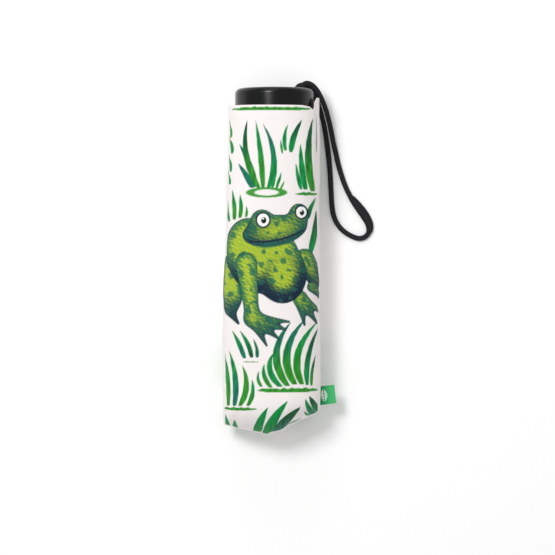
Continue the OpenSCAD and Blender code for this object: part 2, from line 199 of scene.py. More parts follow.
def braidedPolyester(name, pick, width, dark, light):
    # Braided polyester: diagonal yarns in a herringbone. A painted highlight makes the yarn crests lighter,
    # and painted shade darkens the strap towards its edges
    material, tree = newMaterial(name)
    uv = addNode(tree, "ShaderNodeUVMap", {"uv_map": "cloth"})
    parts = addNode(tree, "ShaderNodeSeparateXYZ", links={0: uv.outputs[0]})
    fold = addNode(tree, "ShaderNodeMath", {"operation": "ABSOLUTE"}, {0: parts.outputs[0]})
    slant = addNode(tree, "ShaderNodeMath", {"operation": "MULTIPLY_ADD", 1: 0.8},
                    {0: fold.outputs[0], 2: parts.outputs[1]})
    turns = addNode(tree, "ShaderNodeMath", {"operation": "MULTIPLY", 1: 2 * math.pi / pick},
                    {0: slant.outputs[0]})
    yarn = addNode(tree, "ShaderNodeMath", {"operation": "SINE"}, {0: turns.outputs[0]})
    lift = addNode(tree, "ShaderNodeMapRange", {"From Min": -1.0, "From Max": 1.0},
                   {"Value": yarn.outputs[0]})
    fuzz = addNode(tree, "ShaderNodeTexNoise", {"Scale": 1000 / 0.35, "Detail": 3.0},
                   {"Vector": addNode(tree, "ShaderNodeTexCoord").outputs["Object"]})
    # painted shade: the colour falls off towards the strap's edges
    edge = addNode(tree, "ShaderNodeMapRange",
                   {"From Min": width * 0.2, "From Max": width * 0.48, "To Min": 1.0, "To Max": 0.35},
                   {"Value": fold.outputs[0]})
    # painted highlight: the yarn crests get the lighter colour, less of it near the edges
    tone = addNode(tree, "ShaderNodeMath", {"operation": "MULTIPLY"},
                   {0: lift.outputs[0], 1: edge.outputs[0]})
    tone = addNode(tree, "ShaderNodeMath", {"operation": "MULTIPLY"},
                   {0: tone.outputs[0], 1: fuzz.outputs["Fac"]})
    colour = addNode(tree, "ShaderNodeValToRGB", links={"Fac": tone.outputs[0]})
    colour.color_ramp.elements[0].color = linear(dark)
    colour.color_ramp.elements[1].color = linear(light)
    colour.color_ramp.elements[1].position = 0.6
    bump = addNode(tree, "ShaderNodeBump", {"Strength": 0.7, "Distance": 0.25 * mm},
                   {"Height": lift.outputs[0]})
    shader = addNode(tree, "ShaderNodeBsdfPrincipled",
                     {"Roughness": 0.72, "IOR": 1.5, "Specular IOR Level": 0.3, "Sheen Weight": 0.04,
                      "Sheen Roughness": 0.4},
                     {"Base Color": colour.outputs["Color"], "Normal": bump.outputs["Normal"]})
    closeMaterial(tree, shader)
    return material


loopPath, loopAlong = smoothRoute(loopRoute, loopSet["step"])
loopSide, loopUp = strapFrame(loopPath)
points, across = strapRings(loopPath, loopSide, loopUp, loopSet["width"] / 2, loopSet["thick"] / 2,
                            loopSet["sides"])
columns = loopSet["sides"]
uv = np.stack([across * loopSet["width"] / 2, np.repeat(loopAlong, columns)], 1)
points, faces = capEnds(points, gridFaces(len(loopPath), columns), len(loopPath), columns)
# the yarn's dark colour, then the lighter colour of the painted highlight on its crests
strapCloth = braidedPolyester("braidedPolyester", loopSet["pick"], loopSet["width"], "#060607", "#2c2c31")
wristStrap = meshPiece("wristStrap", points, faces, strapCloth, "handle", np.vstack([uv, uv[:1], uv[-1:]]))

# Splice: a flat woven sleeve, heat-set over the strap's two ends
spliceSet = {"from": 133, "to": 160, "width": 5.9, "thick": 2.9, "shift": 0.9}
inSplice = (loopAlong > spliceSet["from"]) & (loopAlong < spliceSet["to"])
path = loopPath[inSplice]
f = np.linspace(0, 1, len(path))
ease = np.sin(math.pi * f) ** 0.7
halfWidth = loopSet["width"] / 2 + 0.15 + (spliceSet["width"] - loopSet["width"] - 0.3) / 2 * ease
path = path + loopSide[inSplice] * (spliceSet["shift"] * ease)[:, None]
points, across = strapRings(path, loopSide[inSplice], loopUp[inSplice], halfWidth,
                            np.full(len(path), spliceSet["thick"] / 2), columns)
uv = np.stack([across * spliceSet["width"] / 2, np.repeat(loopAlong[inSplice], columns)], 1)
# the yarn's dark colour, then the lighter colour of the painted highlight on its crests
spliceCloth = braidedPolyester("wovenSplice", 1.4, spliceSet["width"], "#060607", "#26262b")
loopSplice = meshPiece("loopSplice", points, gridFaces(len(path), columns), spliceCloth, "handle", uv)
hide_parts("wrist_loop")
print("cord done, mm long:", round(float(loopAlong[-1]), 1))


def pressedCloth(name, base=None, thread=0.22, roughness=0.72):
    # Pongee polyester: a close plain weave with a dry, slightly silky face; the print sits in the yarns
    material, tree = newMaterial(name)
    uv = addNode(tree, "ShaderNodeUVMap", {"uv_map": "cloth"})
    waveScale = 2 * math.pi / 20 / thread
    wave = {"Scale": waveScale, "Distortion": 0.4}
    warp = addNode(tree, "ShaderNodeTexWave", {"bands_direction": "X", **wave}, {"Vector": uv.outputs[0]})
    weft = addNode(tree, "ShaderNodeTexWave", {"bands_direction": "Y", **wave}, {"Vector": uv.outputs[0]})
    weave = addNode(tree, "ShaderNodeMath", {"operation": "MULTIPLY"},
                    {0: warp.outputs["Fac"], 1: weft.outputs["Fac"]})
    coords = addNode(tree, "ShaderNodeTexCoord")
    soft = addNode(tree, "ShaderNodeTexNoise", {"Scale": 1000 / 14.0, "Detail": 3.0, "Roughness": 0.5},
                   {"Vector": coords.outputs["Object"]})
    slub = addNode(tree, "ShaderNodeTexNoise", {"Scale": 1000 / 0.8, "Detail": 2.0},
                   {"Vector": coords.outputs["Object"]})
    if base is None:
        ground = addNode(tree, "ShaderNodeAttribute", {"attribute_name": "print"}).outputs["Color"]
    else:
        ground = addNode(tree, "ShaderNodeRGB").outputs[0]
        ground.default_value = linear(base)
    shade = addNode(tree, "ShaderNodeMapRange",
                    {"From Min": 0.3, "From Max": 0.7, "To Min": 0.965, "To Max": 1.0},
                    {"Value": slub.outputs["Fac"]})
    colour = addNode(tree, "ShaderNodeVectorMath", {"operation": "SCALE"},
                     {0: ground, "Scale": shade.outputs[0]})
    bumpA = addNode(tree, "ShaderNodeBump", {"Strength": 0.35, "Distance": 0.05 * mm},
                    {"Height": weave.outputs[0]})
    bumpB = addNode(tree, "ShaderNodeBump", {"Strength": 0.3, "Distance": 0.9 * mm},
                    {"Height": soft.outputs["Fac"], "Normal": bumpA.outputs["Normal"]})
    shader = addNode(tree, "ShaderNodeBsdfPrincipled",
                     {"Roughness": roughness, "IOR": 1.5, "Specular IOR Level": 0.2, "Sheen Weight": 0.04,
                      "Sheen Roughness": 0.5},
                     {"Base Color": colour.outputs[0], "Normal": bumpB.outputs["Normal"]})
    closeMaterial(tree, shader)
    return material


# The print: tufts of broad grass blades and a frog, painted from plain curves in mm on the cloth
# Blade: tip x, tip y, bend x, base x, base y, width, tip tone, base tone
tone = {"leaf": "#048740", "grass": "#2a8a24", "teal": "#0c6f57", "deep": "#06552f", "cloth": "#f1ebe9"}
blades = [
    (-23, 63.5, -17, -14, 47.5, 4.4, "teal", "teal"), (-22.5, 76, -14, -12.5, 48, 4.8, "teal", "teal"),
    (-17, 91, -22.5, -9.8, 47.5, 4.5, "deep", "grass"),
    (-12, 90.5, -8, -7.3, 47.5, 4.2, "leaf", "grass"), (-7.5, 88.5, 4.5, -4, 47.5, 4.3, "teal", "leaf"),
    (1.5, 66, 0.5, -1.5, 47.5, 2.8, "leaf", "leaf"), (4.5, 58, 3, 1, 47, 2.2, "leaf", "grass"),
    (6.5, 52.5, 5, 3.5, 46, 1.6, "grass", "grass"), (8.5, 88, 5, 7, 71.5, 3, "leaf", "leaf"),
    (17.5, 91, 11, 10.5, 70.5, 4.4, "deep", "leaf"), (3.5, 78.5, 4.5, 5, 69.5, 1.8, "leaf", "grass"),
    (24.5, 92.5, 18.5, 24.5, 45.5, 5.4, "deep", "grass"),
    (16.5, 76, 16.5, 19.8, 46.5, 4.4, "leaf", "leaf"), (13.5, 63.5, 14.5, 17, 46.5, 3, "leaf", "leaf"),
    (27.6, 96, 27.4, 27.4, 71, 1.8, "deep", "deep"), (-31, 92, -27, -28, 80, 2.6, "leaf", "grass"),
    (-31, 82, -26, -27, 70, 2.6, "grass", "leaf"), (-31, 70, -27, -28, 58, 2.4, "leaf", "leaf"),
    (-31.5, 60, -28, -28.5, 50, 2.2, "leaf", "leaf"),
    (-30, 40.5, -30.5, -29, 26.5, 2.6, "leaf", "leaf"),
    (-27, 47, -25, -25.5, 27.5, 3.2, "leaf", "grass"),
    (-22, 44, -20.5, -22, 28.5, 3.2, "leaf", "grass"), (-18, 36.5, -17.2, -18, 29, 2, "leaf", "grass"),
    (26.5, 42, 22, 21, 28, 3.4, "leaf", "deep"), (26.5, 34, 26.5, 22.5, 6, 4.6, "deep", "leaf"),
    (-27, -42.5, -21.5, -19, -60.5, 3.6, "leaf", "teal"),
    (-22, -42.5, -15.5, -14.5, -60, 3.6, "leaf", "deep"),
    (-13.5, -47.5, -10.5, -11, -60, 2.6, "deep", "teal"),
    (-32.5, -56, -28.5, -29.5, -90.5, 3.4, "leaf", "grass"),
    (-29, -55.5, -22.5, -25.5, -90.5, 4.4, "leaf", "teal"),
    (-20.5, -64.5, -14.5, -22, -90.5, 4.4, "grass", "grass"),
    (-14.5, -73.5, -12, -17, -90.5, 3.4, "leaf", "grass"),
    (-9.5, -68, -12, -8, -78.5, 2.4, "leaf", "grass"),
    (-6.5, -63.5, -8.5, -2, -79, 3.6, "leaf", "grass"),
    (-0.5, -56.5, -7.5, 4, -78.5, 4.6, "leaf", "leaf"), (10.5, -37, -7, 8.5, -78, 5.6, "teal", "grass"),
    (20, -35, -0.5, 13, -77, 5.8, "teal", "grass"), (27.5, -37, 7.5, 17.5, -77, 5.4, "leaf", "grass"),
    (28.5, -40, 18.5, 20.8, -77.5, 4, "deep", "leaf"), (26.5, -58, 23, 23.5, -78, 2.4, "deep", "grass"),
    (-4, -91, -11.5, -11.5, -113, 6.4, "leaf", "leaf"),
    (8.5, -87, -4.5, -5.5, -115, 7.6, "leaf", "leaf"), (16.5, -91, 3, 1, -112, 7.6, "deep", "teal"),
    (17.5, -99.5, 12, 7.5, -107, 4, "leaf", "leaf"), (-31.5, -96, -31, -30, -108, 4.6, "leaf", "leaf"),
    (-25.5, -99.5, -25.5, -24.5, -110, 4, "leaf", "leaf"), (22, -84, 26, 28.5, -97, 5, "deep", "leaf"),
    (19.5, -86, 21.5, 26, -99, 4.2, "leaf", "teal"), (19, -94, 21, 23, -99.5, 2.8, "leaf", "leaf"),
]
# Ground stroke under a tuft: left, right, y, thickness; puddle: x, y, its two radii and the line's strength
strokes = [(-27, 23, 97.9, 2.6), (13, 29, 44, 2.6), (-20, -10, -62.4, 1.4), (-34, -11, -92.4, 2.6),
           (-11, 28.5, -80.4, 3.2)]
puddle = (-5, 44.8, 10.4, 2.6, 2.2)
printFront = 38.0  # how far the front's blades reach each way from its middle


def srgb(hexColour):
    return np.array([int(hexColour[i:i + 2], 16) / 255 for i in (1, 3, 5)])


def toLinear(c):
    return np.where(c <= 0.04045, c / 12.92, ((c + 0.055) / 1.055) ** 2.4)


def mottle(x, y, size, seed):  # soft brushed unevenness, about 0 to 1
    r = np.random.default_rng(seed)
    total = np.zeros_like(x)
    for _ in range(7):
        a, p = r.uniform(0, 2 * math.pi, 2)
        k = 2 * math.pi / size * r.uniform(0.6, 1.7)
        total += np.sin(k * (x * math.cos(a) + y * math.sin(a)) + p)
    return np.clip(0.5 + total / 8, 0, 1)


def lay(colours, mask, top):
    return colours + (top - colours) * mask[:, None]


def bladePrint(x, y, colours):
    wobble = (mottle(x, y, 6, 3) - 0.5) * 0.5
    streak = mottle(x * 2.2, y * 0.4, 5, 5)
    for tipX, tipY, bendX, baseX, baseY, width, tipTone, baseTone in blades:
        t = (y - baseY) / (tipY - baseY)
        middle = (1 - t) ** 2 * baseX + 2 * t * (1 - t) * bendX + t ** 2 * tipX
        lean = (2 * (1 - t) * (bendX - baseX) + 2 * t * (tipX - bendX)) / abs(tipY - baseY)
        inside = np.clip(t, 0, 1)
        half = width / 2 * (inside + 0.03) ** 0.42 * (1 - inside) ** 0.8 / 0.53 * np.sqrt(1 + lean ** 2)
        edge = half - np.abs(x + wobble * 0.5 - middle)
        mask = smoothStep(-0.12, 0.3, edge) * ((t > 0) & (t < 1))
        body = np.tile(srgb(tone[baseTone]), (len(x), 1))
        body = lay(body, smoothStep(0.15, 0.8, t + wobble * 0.4), srgb(tone[tipTone]))
        body = body * (0.86 + 0.28 * streak)[:, None]
        colours = lay(colours, mask, body)
    for left, right, height, thick in strokes:
        taper = np.clip((x - left) / 6, 0, 1) ** 0.5 * np.clip((right - x) / 8, 0, 1) ** 0.5
        edge = thick / 2 * taper * (0.8 + 0.6 * wobble) - np.abs(y - height - wobble * 0.8)
        colours = lay(colours, smoothStep(-0.1, 0.25, edge) * (taper > 0),
                      srgb(tone["grass"]) * (0.85 + 0.3 * streak)[:, None])
    puddleX, puddleY, wide, tall, strength = puddle
    ring = np.abs(np.hypot((x - puddleX) / wide, (y - puddleY) / tall) - 1) * strength
    return lay(colours, smoothStep(0.75, 0.35, ring) * 0.9, srgb(tone["grass"]))


def roundShape(x, y, cx, cy, rx, ry, turn=0.0):  # about the distance inside an oval, in mm
    a = math.radians(turn)
    u = (x - cx) * math.cos(a) + (y - cy) * math.sin(a)
    v = -(x - cx) * math.sin(a) + (y - cy) * math.cos(a)
    return (1 - np.hypot(u / rx, v / ry)) * min(rx, ry)


def limb(x, y, ax, ay, bx, by, ra, rb):  # distance inside a tapered round bar
    dx, dy = bx - ax, by - ay
    t = np.clip(((x - ax) * dx + (y - ay) * dy) / (dx * dx + dy * dy), 0, 1)
    return ra + (rb - ra) * t - np.hypot(x - ax - t * dx, y - ay - t * dy)


frogSet = {
    "skin": "#8fae2c", "light": "#b4c63a", "shade": "#1f6152", "ink": "#10243a", "white": "#f7f7f2",
    # back to front: the shapes that join in one part (ovals: x, y, radii, turn; limbs: two ends and their
    # radii), how dark it is below
    "parts": [
        ([("limb", 19, 3, 27, -12, 6.4, 5)], 1.0), ([("limb", 24, -15, 30, -20, 3.4, 2.6)], 0.7),
        ([("limb", 16, -22, 27, -38, 3.2, 0.7), ("limb", 17, -22, 30, -31, 3, 0.7),
          ("limb", 15, -21, 19, -39, 3, 0.7)], 0.4),
        ([("oval", -29, -13, 9, 18, 8), ("limb", -31, -27, -23, -38, 3, 0.8)], 0.75),
        ([("oval", -14, 5, 17, 24, 14), ("oval", 5, -7, 15.5, 18.5, 0), ("oval", 0, 8, 14, 12, 0)], 1.0),
        ([("limb", -18, 0, -14, -34, 7, 4.2), ("limb", -14, -35, 7, -42, 3.4, 0.7),
          ("limb", -14, -35, 3, -48, 3.4, 0.7),
          ("limb", -14, -36, -5, -52, 3.2, 0.7), ("limb", -13, -34, 9, -37, 2.4, 0.7)], 0.35),
        ([("oval", 0, 20.5, 20.5, 9.6, 10), ("oval", -8, 27, 7, 7, 0), ("oval", 15.5, 31.5, 6, 6.4, 0)],
         0.45),
    ],
    "eyes": [(-7.2, 27.4, 4.1), (17, 32.4, 3.6)], "join": 1.6,
}


def frogPrint(x, y, colours):  # a plain round frog of our own drawing
    brush = mottle(x * 0.7, y * 1.5, 3.2, 11)
    blotch = mottle(x, y, 10, 13)
    for shapes, dark in frogSet["parts"]:
        near = [limb(x, y, *sizes) if kind == "limb" else roundShape(x, y, *sizes) for kind,
                *sizes in shapes]
        inside = np.log(sum(np.exp(np.clip(n, -30, 30) / frogSet["join"]) for n in near)) * frogSet["join"]
        heights = [sizes[1] if kind == "oval" else (sizes[1] + sizes[3]) / 2 for kind, *sizes in shapes]
        down = smoothStep(8, -18, y - np.mean(heights)) * dark
        skin = lay(np.tile(srgb(frogSet["skin"]), (len(x), 1)), brush, srgb(frogSet["light"]))
        rim = smoothStep(5.4, 0.4, inside + (brush - 0.5) * 3.4) * 0.8
        skin = lay(skin, np.clip(rim + down * smoothStep(10, 2, inside), 0, 1), srgb(frogSet["shade"]))
        skin = lay(skin, np.clip(down * smoothStep(11, 2, inside + (brush - 0.5) * 5), 0, 1),
                   srgb(frogSet["ink"]))
        skin = lay(skin, smoothStep(0.68, 0.78, blotch) * 0.7, srgb(frogSet["shade"]))
        skin = lay(skin, smoothStep(0.6, 0.1, inside) * 0.9, srgb(frogSet["ink"]))
        colours = lay(colours, smoothStep(-0.15, 0.25, inside), skin)
    smile = 13.6 + 0.0098 * (x + 9) ** 2
    line = smoothStep(0.85, 0.35, np.abs(y - smile)) * smoothStep(-17, -15.5, x) * smoothStep(19.5, 18, x)
    chin = smoothStep(1.8, 0.3, np.abs(y - smile + 3)) * smoothStep(-14, -6, x) * smoothStep(17, 8, x)
    colours = lay(lay(colours, line, srgb(frogSet["ink"])), chin * 0.65, srgb(frogSet["shade"]))
    for cx, cy, r in frogSet["eyes"]:
        d = np.hypot((x - cx) / 0.92, y - cy)
        colours = lay(colours, smoothStep(r + 1.5, r + 0.7, d), srgb(frogSet["ink"]))
        colours = lay(colours, smoothStep(r + 0.2, r - 0.2, d), srgb(frogSet["white"]))
        pupil = np.hypot((x - cx - 0.4) / 0.8, y - cy + 0.2)
        colours = lay(colours, smoothStep(r * 0.56, r * 0.44, pupil), srgb("#0c1016"))
        colours = lay(colours, smoothStep(0.9, 0.5, np.hypot(x - cx + 0.1, y - cy - 0.9)),
                      srgb(frogSet["white"]))
    return colours


# x runs round the sleeve from the middle of its front, as far as reach each way
def clothPrint(x, y, reach):
    half = (reach - printFront) / 2  # the blades come once on the front and twice behind, the frog once
    behind = np.sign(x) * (np.abs(x) - printFront - half) * printFront / half
    colours = np.tile(srgb(tone["cloth"]), (len(x), 1))
    colours = bladePrint(np.where(np.abs(x) <= printFront, x, behind), y, colours)
    near = np.abs(x) <= reach / 2
    return toLinear(np.clip(np.where(near[:, None], frogPrint(x, y, colours), colours), 0, 1))


# Sleeve: printed cloth bag, sewn across its slanted end, open round the cap
low, high = (np.array(corner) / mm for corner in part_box("sleeve"))
sleeveSet = {
    "power": 2.5, "front": 236, "back": 200, "rowStep": 0.5, "endRows": 60, "lift": 0.35,
    # y, then how far the left side, right side and top stand inside the CAD box
    "rings": [(106, 3.6, 0.7, 0), (100, 3.4, 0.6, 0), (80, 3, 0.5, 0.2), (55, 2.4, 0.3, 0.6),
              (30, 1.8, 0.2, 1), (5, 1, 0.1, 1.4), (-20, 0.2, 0, 1.6), (-50, 0, 0, 1.8), (-84, 0, 0, 2)],
    "endStart": -84, "endTop": 15, "endBottom": 11,
    "endLine": [(-34, -103.6), (-32, -104), (-23, -106.6), (-13, -108.6), (-5, -110.5), (-2.5, -109.6),
                (5.5, -107.6), (9, -104.8), (17.5, -100.8), (24, -98), (28, -95.2), (30, -95)],
    "mouth": [(-40, 101.5), (-30, 100.6), (-26, 100.2), (18, 100), (22.5, 99.2), (25, 97.2),
              (25.8, 98.5), (26.6, 103), (27.6, 105.6), (30, 106), (40, 103), (60, 100)],
    "crease": 25.0, "creaseDrop": 2.2,
}


def sleeveGrid():
    s = sleeveSet
    dense = np.linspace(-90, 270, 4001)  # angle from the middle of the underside
    c, z = np.cos(np.radians(dense)), np.sin(np.radians(dense))
    cx = np.sign(c) * np.abs(c) ** (2 / s["power"])
    cz = np.sign(z) * np.abs(z) ** (2 / s["power"])
    run = np.r_[0, np.cumsum(np.hypot(np.diff(cx) * 30.5, np.diff(cz) * 26.5))]
    total = run[-1]
    stops = np.interp(np.r_[np.linspace(0, 0.25, s["back"] // 2, endpoint=False),
                            np.linspace(0.25, 0.75, s["front"], endpoint=False),
                            np.linspace(0.75, 1, s["back"] // 2, endpoint=False)], [0, 1], [0, total])
    cx, cz = np.interp(stops, run, cx), np.interp(stops, run, cz)
    around = total / 2 - stops  # mm round the cloth from the middle of the front, + to the right
    ys = np.r_[np.arange(100, s["endStart"], -s["rowStep"]), s["endStart"]]
    ring = np.array(s["rings"], float)[::-1]
    left = low[0] + np.interp(ys, ring[:, 0], ring[:, 1])
    right = high[0] - np.interp(ys, ring[:, 0], ring[:, 2])
    top = high[2] - np.interp(ys, ring[:, 0], ring[:, 3])
    floor = -1.0
    x = (left + right)[:, None] / 2 + (right - left)[:, None] / 2 * cx[None]
    z = (top + floor)[:, None] / 2 + (top - floor)[:, None] / 2 * cz[None]
    y = np.repeat(ys[:, None], x.shape[1], 1)
    k = np.linspace(0, 1, s["endRows"] + 1)[1:] ** 0.8
    w = np.sqrt(np.clip(1 - k ** 3, 0, 1))
    topEnd = s["endTop"] + (top[-1] - s["endTop"]) * w
    lowEnd = floor + (s["endBottom"] - floor) * k ** 3
    pinch = smoothStep(0.93, 1.0, k)
    mid = (topEnd + lowEnd) / 2
    tall = (topEnd - lowEnd) / 2 * (1 - 0.88 * pinch)
    xe = (left[-1] + right[-1]) / 2 + ((right[-1] - left[-1]) / 2 - k ** 4)[:, None] * cx[None]
    ze = mid[:, None] + tall[:, None] * cz[None]
    edge = np.array(s["endLine"], float)
    ye = s["endStart"] + k[:, None] * (np.interp(xe, edge[:, 0], edge[:, 1]) - s["endStart"])
    x, y, z = np.vstack([x, xe]), np.vstack([y, ye]), np.vstack([z, ze])
    # front layer droops at the mouth's right corner, and the side panel behind it stands up
    mouth = np.array(s["mouth"], float)
    pull = np.interp(x, mouth[:, 0], mouth[:, 1]) - 100
    upper = smoothStep(4, 22, z)
    y = y + pull * upper * smoothStep(62, 100, y)
    fold = smoothStep(s["crease"] - 0.3, s["crease"] + 0.9, x)
    fold = fold * smoothStep(26, 32, z) * smoothStep(36, 58, y)
    z = z - s["creaseDrop"] * fold
    x = x - 0.6 * fold
    return x, y, z, np.repeat(around[None], len(x), 0)


# Creases in the cloth: start x and y, direction in degrees, length, width, depth
creases = [
    (-29, -100, 62, 34, 2.4, 0.8), (24, -90, 128, 26, 2.2, 0.7), (-20, -104, 84, 22, 2, 0.5),
    (10, -100, 100, 24, 2.4, 0.5), (-30, 30, 8, 20, 3, 0.5), (-31, -20, -10, 22, 3, 0.5),
    (26, 60, 170, 16, 2.5, 0.4), (-24, 96, -70, 16, 2.5, 0.5),
]


def wrinkles(x, y, z):  # soft undulations, and the creases
    rise = 0.34 * np.sin(y / 17 + 0.6 * np.sin(x / 9)) * np.sin(x / 14 + y / 41 + 1.2)
    rise += 0.16 * np.sin(y / 6.3 + x / 5.1) * np.sin(y / 23)
    for cx, cy, angle, length, width, depth in creases:
        a = math.radians(angle)
        u = (x - cx) * math.cos(a) + (y - cy) * math.sin(a)
        v = -(x - cx) * math.sin(a) + (y - cy) * math.cos(a)
        start, end = smoothStep(-4, 2, u), smoothStep(length, length * 0.3, u)
        rise += depth * np.exp(-(v / width) ** 2) * start * end
    return rise


x, y, z, around = sleeveGrid()
rise = wrinkles(x, y, z) * smoothStep(2, 14, z)
core, girth = (-2, 26.5), (30, 26.5)  # the sleeve's middle line and half sizes, x and z
out = np.hypot((x - core[0]) / girth[0], (z - core[1]) / girth[1])
x = x + rise * (x - core[0]) / girth[0] / out
z = z + rise * (z - core[1]) / girth[1] / out
z = np.maximum(z, sleeveSet["lift"] + 0.2 * (1 + np.sin(x / 5) * np.sin(y / 7)))
z = np.minimum(z, high[2] + 0.4)
# mm round from the middle of the front: the print is laid out flat on the front, then runs on round the cloth
facing = 34.0
leftX, rightX = (x[:, [np.abs(around[0] - s * facing).argmin()]] for s in (-1, 1))
beyond = np.maximum(np.abs(around) - facing, 0)
printX = np.where(beyond > 0, np.where(around > 0, rightX + beyond, leftX - beyond), x)
reach = float(np.abs(printX).max())
fallen, gone = np.abs(np.diff(z, axis=0)), np.abs(np.diff(y, axis=0)) + 1e-6
steep = smoothStep(2, 4, fallen / gone)  # where the sewn end drops away, the print follows the cloth down
printY = y - np.vstack([np.zeros_like(y[:1]), np.cumsum((np.hypot(fallen, gone) - gone) * steep, 0)])
clothColours = clothPrint(printX.ravel(), printY.ravel(), reach)
printedCloth = pressedCloth("printedPongee")
rows, columns = x.shape
uv = np.stack([around.ravel(), y.ravel()], 1)
sleeveCloth = meshPiece("sleeveCloth", np.stack([x, y, z], -1).reshape(-1, 3), gridFaces(rows, columns),
                        printedCloth, "sleeve", uv, clothColours)
print("sleeve done", rows, columns,
      [round(float(v), 1) for v in (x.min(), x.max(), y.min(), y.max(), z.max())])

# Hem: the mouth's edge turned in twice and stitched down
hemSet = {"profile": [(8.2, 0.05)] + [(depth / 2, 0.06) for depth in range(16, 0, -1)]
          + [(0.15, 0.12), (-0.2, -0.1), (0.1, -0.36), (1.5, -0.4), (5, -0.4), (8.2, -0.4), (8.6, -0.2)]}
inward = np.stack([-(x - core[0]) / girth[0], np.zeros_like(x), -(z - core[1]) / girth[1]], -1)
inward /= np.linalg.norm(inward, axis=-1)[..., None]
surface = np.stack([x, y, z], -1)
hemPoints = []
for depth, off in hemSet["profile"]:
    row = max(depth, 0) / sleeveSet["rowStep"]
    i = int(row)
    at = surface[i] + (surface[i + 1] - surface[i]) * (row - i)
    at = at + np.array([0, -min(depth, 0), 0])
    hemPoints.append(at - inward[i] * off)
hemPoints = np.array(hemPoints)
hemPoints[..., 2] = np.maximum(hemPoints[..., 2], 0.1)
hemColours = clothPrint(np.tile(printX[0], len(hemPoints)), hemPoints[..., 1].ravel(), reach)
hemUv = np.stack([np.tile(around[0], len(hemPoints)),
                  np.repeat([-d for d, _ in hemSet["profile"]], columns)], 1)
sleeveHem = meshPiece("sleeveHem", hemPoints.reshape(-1, 3), gridFaces(len(hemPoints), columns),
                      printedCloth, "sleeve", hemUv, hemColours)
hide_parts("sleeve_hem")

# Tag: a woven label folded double and caught in the side seam
tagSet = {"size": (11.6, 12), "turn": 6.5, "start": (27.4, -85.2, 21), "gap": 0.35, "cells": 44,
          "green": "#1f9b63", "faded": "#45b56b", "leaf": "#f2f7f3"}
n = tagSet["cells"]
turn = math.radians(tagSet["turn"])
u = np.linspace(0, 1, n)
sheetX = np.r_[u, 1 + 0.012 * np.sin(np.linspace(0, math.pi, 5)[1:-1]), u[::-1]]
sheetZ = np.r_[np.full(n, 1.0), np.cos(np.linspace(0, math.pi, 5)[1:-1]), np.full(n, -1.0)]
v = np.linspace(-0.5, 0.5, n)
gx, gy = np.meshgrid(sheetX * tagSet["size"][0], v * tagSet["size"][1], indexing="ij")
curl = 0.5 * np.sin(gx / 11 * math.pi) * np.cos(gy / 9)
gz = sheetZ[:, None] * tagSet["gap"] * (1 + 0.2 * np.sin(gy * 0.8)) + curl
gz = gz - 0.02 * gx ** 1.6 * 0.4
tx = tagSet["start"][0] + gx * math.cos(turn) - gy * math.sin(turn)
ty = tagSet["start"][1] + gx * math.sin(turn) + gy * math.cos(turn)
tagColours = np.tile(srgb(tagSet["green"]), (gx.size, 1))
tagColours = lay(tagColours, smoothStep(1, 11, gx.ravel()), srgb(tagSet["faded"]))
leafX, leafY = gx.ravel() - 4.4, gy.ravel()
leaf = leafX ** 2 / 2.1 ** 2 + np.abs(leafY / 3.9) ** 1.5
veins = np.minimum(np.abs(leafX), np.abs((leafY - np.abs(leafX) * 0.9 + 10) % 1.9 - 0.95))
motif = smoothStep(1.05, 0.95, leaf) * smoothStep(0.12, 0.3, veins)
tagColours = toLinear(lay(tagColours, np.clip(motif, 0, 1), srgb(tagSet["leaf"])))
tagCloth = pressedCloth("wovenLabel", thread=0.3, roughness=0.6)
tagUv = np.stack([gx.ravel(), gy.ravel()], 1)
sleeveTag = meshPiece("sleeveTag", np.stack([tx, ty, tagSet["start"][2] + gz], -1).reshape(-1, 3),
                      gridFaces(*gx.shape, closed=False), tagCloth, "sleeve", tagUv, tagColours)
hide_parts("sleeve_tag")
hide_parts("sleeve")
print("hem and tag done")

# Folding canopy: six gores in one cloth, pleated and rolled round the ribs, which opens with the runner
canopySet = {
    "perGore": 64, "rows": 72, "top": 166.1, "middle": 164.0,
    "crown": (8, -92), "elbow": (13.75, 74), "tipElbow": (16.6, -90), "tipEnd": (18, 80),
    "swings": (81, -114, 51), "stages": 4, "scallop": 0.05, "inner": 20.4,
    # cloth to rib line, mm, along the profile's points
    "off": ([0, 95, 120, 185, 215, 240], [3, 3.5, 7, 7, 5, 4]),
}


def turned(v, degrees):
    a = math.radians(degrees)
    return np.array([v[0] * math.cos(a) + v[1] * math.sin(a), v[1] * math.cos(a) - v[0] * math.sin(a)])


# radius and y along one rib, with the cloth on its outer side, for a share of the opening
def ribProfile(share):
    crown, elbow, tipElbow, tipEnd = (np.array(canopySet[k], float)
                                      for k in ("crown", "elbow", "tipElbow", "tipEnd"))
    a = crown + turned(elbow - crown, canopySet["swings"][0] * share)
    b = a + turned(tipElbow - elbow, canopySet["swings"][1] * share)
    d = b + turned(tipEnd - tipElbow, canopySet["swings"][2] * share)
    line = np.array([(3.6, -98.3), crown + [1, -5.5], a, b, d])
    fine = np.vstack([line[i] + (line[i + 1] - line[i]) * np.linspace(0, 1, 60, endpoint=False)[:, None]
                      for i in range(4)] + [line[-1:]])
    kernel = np.hanning(15) / np.hanning(15).sum()
    padded = np.vstack([np.repeat(fine[:1], 7, 0), fine, np.repeat(fine[-1:], 7, 0)])
    smooth = np.stack([np.convolve(padded[:, k], kernel, "valid") for k in range(2)], 1)
    smooth[0], smooth[-1] = fine[0], fine[-1]
    step = np.gradient(smooth, axis=0)
    step /= np.linalg.norm(step, axis=1)[:, None] + 1e-9
    normal = np.stack([step[:, 1], -step[:, 0]], 1)  # towards -Y where the rib runs outwards
    return smooth + normal * np.interp(np.arange(len(fine)), *canopySet["off"])[:, None]


